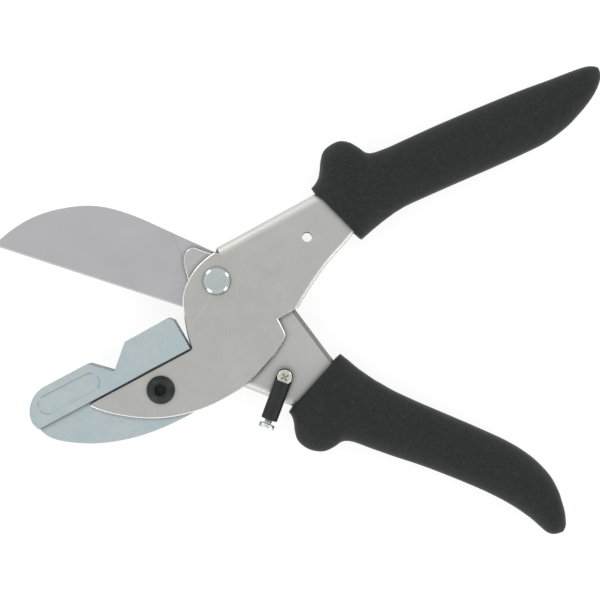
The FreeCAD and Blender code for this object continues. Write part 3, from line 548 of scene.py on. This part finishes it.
LO = [((26.7, -48.94), (46.05, -27.19), 0.93), ((28.01, -50.77), (47.62, -28.54), 1.0),
      ((28.72, -53.21), (49.05, -29.66), 1.03), ((29.1, -56.32), (50.33, -30.75), 1.04),
      ((30.15, -59.59), (51.67, -31.91), 1.04), ((32.81, -62.18), (53.44, -33.26), 1.03),
      ((36.34, -63.6), (55.2, -34.5), 1.01), ((40.12, -63.75), (56.66, -35.55), 0.99),
      ((43.65, -62.21), (57.83, -36.3), 0.98), ((46.95, -60.11), (59.25, -37.27), 0.97),
      ((50.89, -60.26), (61.31, -38.4), 0.96), ((57.22, -62.55), (66.3, -41.21), 0.96),
      ((66.08, -65.66), (74.81, -45.15), 0.97), ((76.76, -69.19), (85.09, -49.54), 0.97),
      ((89.03, -73.91), (97.16, -54.71), 0.95), ((101.1, -79.05), (109.05, -60.22), 0.93),
      ((110.06, -83.77), (117.71, -65.77), 0.92), ((117.19, -88.61), (124.16, -72.19), 0.9),
      ((121.39, -92.32), (127.5, -77.96), 0.87), ((123.45, -94.01), (128.93, -82.12), 0.82),
      ((125.21, -94.69), (129.94, -85.57), 0.72), ((127.12, -94.6), (130.36, -88.04), 0.58),
      ((129.05, -94.05), (130.52, -90.2), 0.40)]


def q(p):
    """A point of the outline drawing in row metres, in the middle plane."""
    return P(p[0], p[1])


def spow(v, e):
    return math.copysign(abs(v) ** e, v)


def make_grip(name, body, stations, hole_o, hole_i, hole_half, node):
    """One closed moulding: oval sections along the handle, a rounded front rim and
    a socket that the folded handle enters."""
    M = 96
    angs = [2 * math.pi * k / M for k in range(M)]
    rows = []
    for o, i, t in stations:
        a, b = q(o), q(i)
        rows.append([a.x, a.y, b.x, b.y, 9.62 * MM * t])
    rows = catmull(rows, 7)
    total = len(rows)

    def ring(ax, ay, bx, by, h, inset, p, shift=Vector((0, 0, 0)), seam=0.0):
        a, b = Vector((ax, ay, PIVOT.z)), Vector((bx, by, PIVOT.z))
        c = (a + b) / 2 + shift
        u = a - b
        w = u.length / 2 - inset
        u.normalize()
        pts = []
        for th in angs:
            cs, sn = math.cos(th), math.sin(th)
            x = w * spow(cs, 2 / p)
            z = (h - inset) * spow(sn, 2 / p)
            if seam:
                g = math.exp(-(z / (0.28 * MM)) ** 2)
                x += math.copysign(seam * g, cs)
            pts.append(c + u * x + Vector((0, 0, z)))
        return pts

    first, second = rows[0], rows[4]
    into = (Vector(((second[0] + second[2]) / 2, (second[1] + second[3]) / 2, 0))
            - Vector(((first[0] + first[2]) / 2, (first[1] + first[3]) / 2, 0))).normalized()
    verts, rings = [], []

    def add(pts):
        rings.append(list(range(len(verts), len(verts) + len(pts))))
        verts.extend(pts)

    # socket: from its floor out to the front face, then round the rim
    ho, hi = q(hole_o), q(hole_i)
    hole = (ho.x, ho.y, hi.x, hi.y, hole_half * MM)
    add(ring(*hole, 0.25 * MM, 6.5, into * 3.2 * MM))
    add(ring(*hole, 0.0, 6.5, into * 2.9 * MM))
    add(ring(*hole, 0.0, 6.5, into * 0.35 * MM))
    add(ring(*hole, -0.12 * MM, 6.5, into * 0.08 * MM))
    add(ring(*hole, -0.35 * MM, 6.0, into * 0.0))
    add(ring(*first, 1.25 * MM, 3.0))
    add(ring(*first, 0.72 * MM, 3.0, into * 0.02 * MM))
    add(ring(*first, 0.34 * MM, 3.0, into * 0.12 * MM))
    add(ring(*first, 0.10 * MM, 3.0, into * 0.36 * MM))
    for k, r in enumerate(rows):
        if k in (0,):
            continue
        f = k / total
        p = 3.0 - 0.35 * min(1, f * 3) - 0.25 * max(0, (f - 0.8) / 0.2)
        inset = 0.015 * MM if k == 1 else 0.0
        add(ring(*r, inset, p, seam=0.07 * MM * min(1, k / 6) * (1 if k < total - 14 else max(0, (total - 1 - k) / 14))))
    faces = []
    for r0, r1 in zip(rings, rings[1:]):
        for k in range(M):
            faces.append((r0[k], r0[(k + 1) % M], r1[(k + 1) % M], r1[k]))

    def close(ringidx, push):
        """A smooth cap: rows of shrinking rings, then a small fan."""
        base = [verts[i] for i in ringidx]
        c = sum(base, Vector((0, 0, 0))) / M
        prev = ringidx
        for s in (0.82, 0.62, 0.40, 0.18):
            pts = [c + (v - c) * s + push * math.sqrt(max(0.0, 1 - s * s)) for v in base]
            add(pts)
            cur = rings[-1]
            for k in range(M):
                faces.append((prev[k], prev[(k + 1) % M], cur[(k + 1) % M], cur[k]))
            prev = cur
        verts.append(c + push)
        top = len(verts) - 1
        for k in range(M):
            faces.append((prev[k], prev[(k + 1) % M], top))

    tail = rows[-1]
    before = rows[-6]
    d = (Vector(((tail[0] + tail[2]) / 2, (tail[1] + tail[3]) / 2, 0))
         - Vector(((before[0] + before[2]) / 2, (before[1] + before[3]) / 2, 0))).normalized()
    close(rings[-1], d * 0.35 * MM)
    close(rings[0], into * 0.05 * MM)
    o = new_object(name, verts, faces, GRIP, body)
    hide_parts(node)
    return o


make_grip("upper_handle_grip", "frame", UP, (36.67, 33.08), (51.94, 17.36), 6.0, "upper_grip")
make_grip("lower_handle_grip", "lever", LO, (27.9, -47.47), (44.7, -28.61), 3.75, "lower_grip")


# ------------------------------------------------------------------ tubes and turned parts
def tube(name, pts, r, mat, body, sides=16):
    """A round wire along pts, closed at both ends with small domes."""
    n = len(pts)
    verts, faces = [], []
    t = (pts[1] - pts[0]).normalized()
    ref = Vector((0, 0, 1)) if abs(t.z) < 0.9 else Vector((1, 0, 0))
    u = t.cross(ref).normalized()
    prev_t = t
    rings = []
    for i, p in enumerate(pts):
        if i == 0:
            t = (pts[1] - pts[0]).normalized()
        elif i == n - 1:
            t = (pts[-1] - pts[-2]).normalized()
        else:
            t = ((pts[i + 1] - p).normalized() + (p - pts[i - 1]).normalized()).normalized()
        rot = prev_t.rotation_difference(t)
        u = (rot @ u)
        u = (u - t * u.dot(t)).normalized()
        v = t.cross(u)
        prev_t = t
        for rr, off in (((r * 0.35, -r * 0.55), (r * 0.8, -r * 0.3)) if i == 0 else ()):
            rings.append(list(range(len(verts), len(verts) + sides)))
            verts += [p + t * off + (u * math.cos(a) + v * math.sin(a)) * rr for a in [2 * math.pi * k / sides for k in range(sides)]]
        rings.append(list(range(len(verts), len(verts) + sides)))
        verts += [p + (u * math.cos(a) + v * math.sin(a)) * r for a in [2 * math.pi * k / sides for k in range(sides)]]
        for rr, off in (((r * 0.8, r * 0.3), (r * 0.35, r * 0.55)) if i == n - 1 else ()):
            rings.append(list(range(len(verts), len(verts) + sides)))
            verts += [p + t * off + (u * math.cos(a) + v * math.sin(a)) * rr for a in [2 * math.pi * k / sides for k in range(sides)]]
    for a, b in zip(rings, rings[1:]):
        for k in range(sides):
            faces.append((a[k], a[(k + 1) % sides], b[(k + 1) % sides], b[k]))
    faces.append(tuple(rings[0]))
    faces.append(tuple(reversed(rings[-1])))
    return new_object(name, verts, faces, mat, body)


# return spring: coil, a fixed leg under the fold, and a leg that runs to the lever
fold_a, fold_b = Vector((0.0, 12.46, 0)), Vector((36.5, 32.44, 0))
fd = (fold_b - fold_a).normalized()
fn = Vector((-fd.y, fd.x, 0))
WR, CR, CH = 0.6, 3.7, 2.4
foot = fold_a.dot(fn) - 2.0
T = fd * 32.0 + fn * (foot - 0.06 - CR)
tip = Vector((18.50, 2.86, 0))
rm = CR - WR
d = tip - T
phi = math.acos(rm / d.length)
base = math.atan2(d.y, d.x)
a_end = base - phi                       # where the moving leg leaves the coil
a_start = math.atan2(fn.y, fn.x)         # where the fixed leg leaves it
zf = CH - WR
pts = []
fixed = T + fn * rm
for k in range(9):
    s = 13.5 * (1 - k / 9)
    pts.append(fixed + fd * s + Vector((0, 0, zf)))
turn = (a_end - a_start) % (2 * math.pi) + 2 * math.pi * 2
steps = 84
for k in range(steps + 1):
    a = a_start + turn * k / steps
    pts.append(T + Vector((math.cos(a), math.sin(a), 0)) * rm + Vector((0, 0, zf - 2 * zf * k / steps)))
last = pts[-1]
for k in range(1, 12):
    pts.append(last.lerp(Vector((tip.x, tip.y, -zf)), k / 12))
dirn = (Vector((tip.x, tip.y, -zf)) - last).normalized()
corner = Vector((tip.x, tip.y, -zf))
for k in range(1, 7):                    # bend up into the cross bar that lies on the lever's edges
    a = math.pi / 2 * k / 6
    pts.append(corner + dirn * (0.0) + Vector((0, 0, 1)) * (1.2 * (1 - math.cos(a))) + dirn * (1.2 * math.sin(a) - 1.2))
for k in range(1, 6):
    pts.append(corner + Vector((0, 0, 1.2 + (zf + 3.0 - 1.2) * k / 5)))
sp = tube("wire_return_spring", [P(p.x, p.y, p.z) for p in pts], WR * MM, SPRING, None, 14)
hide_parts("return_spring")
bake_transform(sp)


# adjusting screw: threaded shank, slotted cheese head with a knurled-smooth edge
def turned(name, profile, p0, axis, mat, body, sides=48):
    """profile: (distance along the axis, radius) in millimetres, closed on the axis."""
    axis = axis.normalized()
    ref = Vector((0, 0, 1))
    u = axis.cross(ref).normalized()
    v = axis.cross(u)
    verts, faces, rings = [], [], []
    for s, r in profile:
        rings.append(list(range(len(verts), len(verts) + sides)))
        verts += [p0 + axis * s * MM + (u * math.cos(a) + v * math.sin(a)) * r * MM
                  for a in [2 * math.pi * k / sides for k in range(sides)]]
    for a, b in zip(rings, rings[1:]):
        for k in range(sides):
            faces.append((a[k], a[(k + 1) % sides], b[(k + 1) % sides], b[k]))
    faces.append(tuple(rings[0]))
    faces.append(tuple(reversed(rings[-1])))
    return new_object(name, verts, faces, mat, body)


LD = math.radians(249.7)
ldir = Vector((math.cos(LD), math.sin(LD), 0))
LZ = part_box("adjusting_screw")
lock_axis_z = (LZ[0].z + LZ[1].z) / 2
lock = Vector(frame["joints"][1]["pos_m"])
bar_l = 16.85
start = Vector((lock.x, lock.y, lock_axis_z)) + ldir * (bar_l - 9.0) * MM
prof = [(0.0, 1.0), (0.35, 1.3)]
s = 0.5
while s < 9.9:
    prof += [(s, 1.24), (s + 0.16, 1.47), (s + 0.26, 1.47), (s + 0.42, 1.24)]
    s += 0.5
L0 = 9.0 + 1.55
prof += [(L0 + 0.03, 1.28), (L0 + 0.04, 2.45), (L0 + 0.08, 2.72), (L0 + 0.18, 2.88), (L0 + 0.34, 2.94), (L0 + 1.58, 2.94),
         (L0 + 1.76, 2.86), (L0 + 1.86, 2.68), (L0 + 1.90, 2.4), (L0 + 1.90, 0.6)]
prof = [(a, b) for a, b in prof]
adj = turned("lock_adjusting_screw", prof, start, ldir, BRIGHT, "adjuster", 64)
# driver slot
cut = bpy.data.meshes.new("slot_cutter")
bm = bmesh.new()
bmesh.ops.create_cube(bm, size=1.0)
side = Vector((-ldir.y, ldir.x, 0))
mat4 = Matrix((ldir * 1.6 * MM, side * 0.7 * MM, Vector((0, 0, 9 * MM)))).transposed().to_4x4()
mat4.translation = start + ldir * (L0 + 1.90 + 0.8 - 0.62) * MM
bm.transform(mat4)
bm.to_mesh(cut)
bm.free()
cutter = bpy.data.objects.new("slot_cutter", cut)
scene.collection.objects.link(cutter)
bo = adj.modifiers.new("slot", "BOOLEAN")
bo.operation = "DIFFERENCE"
bo.solver = "EXACT"
bo.object = cutter
dg = bpy.context.evaluated_depsgraph_get()
done = bpy.data.meshes.new_from_object(adj.evaluated_get(dg))
adj.modifiers.clear()
adj.data = done
bpy.data.objects.remove(cutter)
for p in adj.data.polygons:
    p.use_smooth = True
if hasattr(adj.data, "set_sharp_from_angle"):
    adj.data.set_sharp_from_angle(angle=math.radians(38))
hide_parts("adjusting_screw")


# ------------------------------------------------------------------ floor, light, camera
def plane(name, size, loc, mat):
    me = bpy.data.meshes.new(name)
    h = size / 2
    me.from_pydata([(-h, -h, 0), (h, -h, 0), (h, h, 0), (-h, h, 0)], [], [(0, 1, 2, 3)])
    me.materials.append(mat)
    o = bpy.data.objects.new(name, me)
    o.location = loc
    scene.collection.objects.link(o)
    return o


fm = Mat("pale_floor")
fc = fm.ramp(fm.noise(fm.mm(0), 0.02, 3.0), [(0.3, (0.30, 0.30, 0.298)), (0.7, (0.32, 0.32, 0.318))])
fm.set(color=fc, metal=0.0, rough=0.8, spec=0.1)
fm.b.inputs["Emission Color"].default_value = (1, 1, 1, 1)
fm.b.inputs["Emission Strength"].default_value = 0.78
floor = plane("floor", 12.0, (0, 0, -0.0002), fm.m)

# light tent: dimmer overhead, brighter walls, four soft lamps on the diagonals
world = bpy.data.worlds.new("studio")
scene.world = world
world.use_nodes = True
wt = world.node_tree
wt.nodes.clear()
wo = wt.nodes.new("ShaderNodeOutputWorld")
bg = wt.nodes.new("ShaderNodeBackground")
tc = wt.nodes.new("ShaderNodeTexCoord")
sx = wt.nodes.new("ShaderNodeSeparateXYZ")
rp = wt.nodes.new("ShaderNodeValToRGB")
wt.links.new(tc.outputs["Generated"], sx.inputs[0])
wt.links.new(sx.outputs[2], rp.inputs[0])


def grey(v):
    return (v, v, v, 1)


stops = [(0.0, 0.94), (0.22, 1.00), (0.47, 1.10), (0.64, 1.02), (0.79, 0.90), (0.90, 0.78), (0.965, 0.70), (1.0, 0.62)]
el = rp.color_ramp.elements
while len(el) < len(stops):
    el.new(0.5)
for e, (pos, v) in zip(el, stops):
    e.position, e.color = pos, grey(v)
total = rp.outputs[0]
for az, zen, rad, power in ((134, 78, 14, 2.9), (33, 78, 12, 3.1), (232, 77, 14, 3.3), (318, 78, 12, 3.1)):
    a, zr = math.radians(az), math.radians(zen)
    dot = wt.nodes.new("ShaderNodeVectorMath")
    dot.operation = "DOT_PRODUCT"
    dot.inputs[1].default_value = (math.cos(a) * math.sin(zr), math.sin(a) * math.sin(zr), math.cos(zr))
    wt.links.new(tc.outputs["Generated"], dot.inputs[0])
    mr = wt.nodes.new("ShaderNodeMapRange")
    mr.interpolation_type = "SMOOTHSTEP"
    mr.inputs[1].default_value = math.cos(math.radians(rad))
    mr.inputs[2].default_value = math.cos(math.radians(rad * 0.45))
    mr.inputs[3].default_value = 0.0
    mr.inputs[4].default_value = power
    wt.links.new(dot.outputs["Value"], mr.inputs[0])
    add = wt.nodes.new("ShaderNodeMix")
    add.data_type = "RGBA"
    add.blend_type = "ADD"
    add.inputs[0].default_value = 1.0
    wt.links.new(total, add.inputs[6])
    wt.links.new(mr.outputs[0], add.inputs[7])
    total = add.outputs[2]
wt.links.new(total, bg.inputs[0])
wt.links.new(bg.outputs[0], wo.inputs[0])
bg.inputs[1].default_value = 1.12

cam_d = bpy.data.cameras.new("camera")
cam_d.sensor_width = 36.0
cam_d.lens = 36.0 * 680.0 / 225.0
cam_d.clip_start = 0.01
cam = bpy.data.objects.new("camera", cam_d)
cam.location = (PIVOT.x + 0.031004, PIVOT.y - 0.007121, PIVOT.z + 0.680)
cam.rotation_euler = (0, 0, 0)
scene.collection.objects.link(cam)
scene.camera = cam
scene.view_settings.view_transform = "Standard"
scene.view_settings.look = "None"
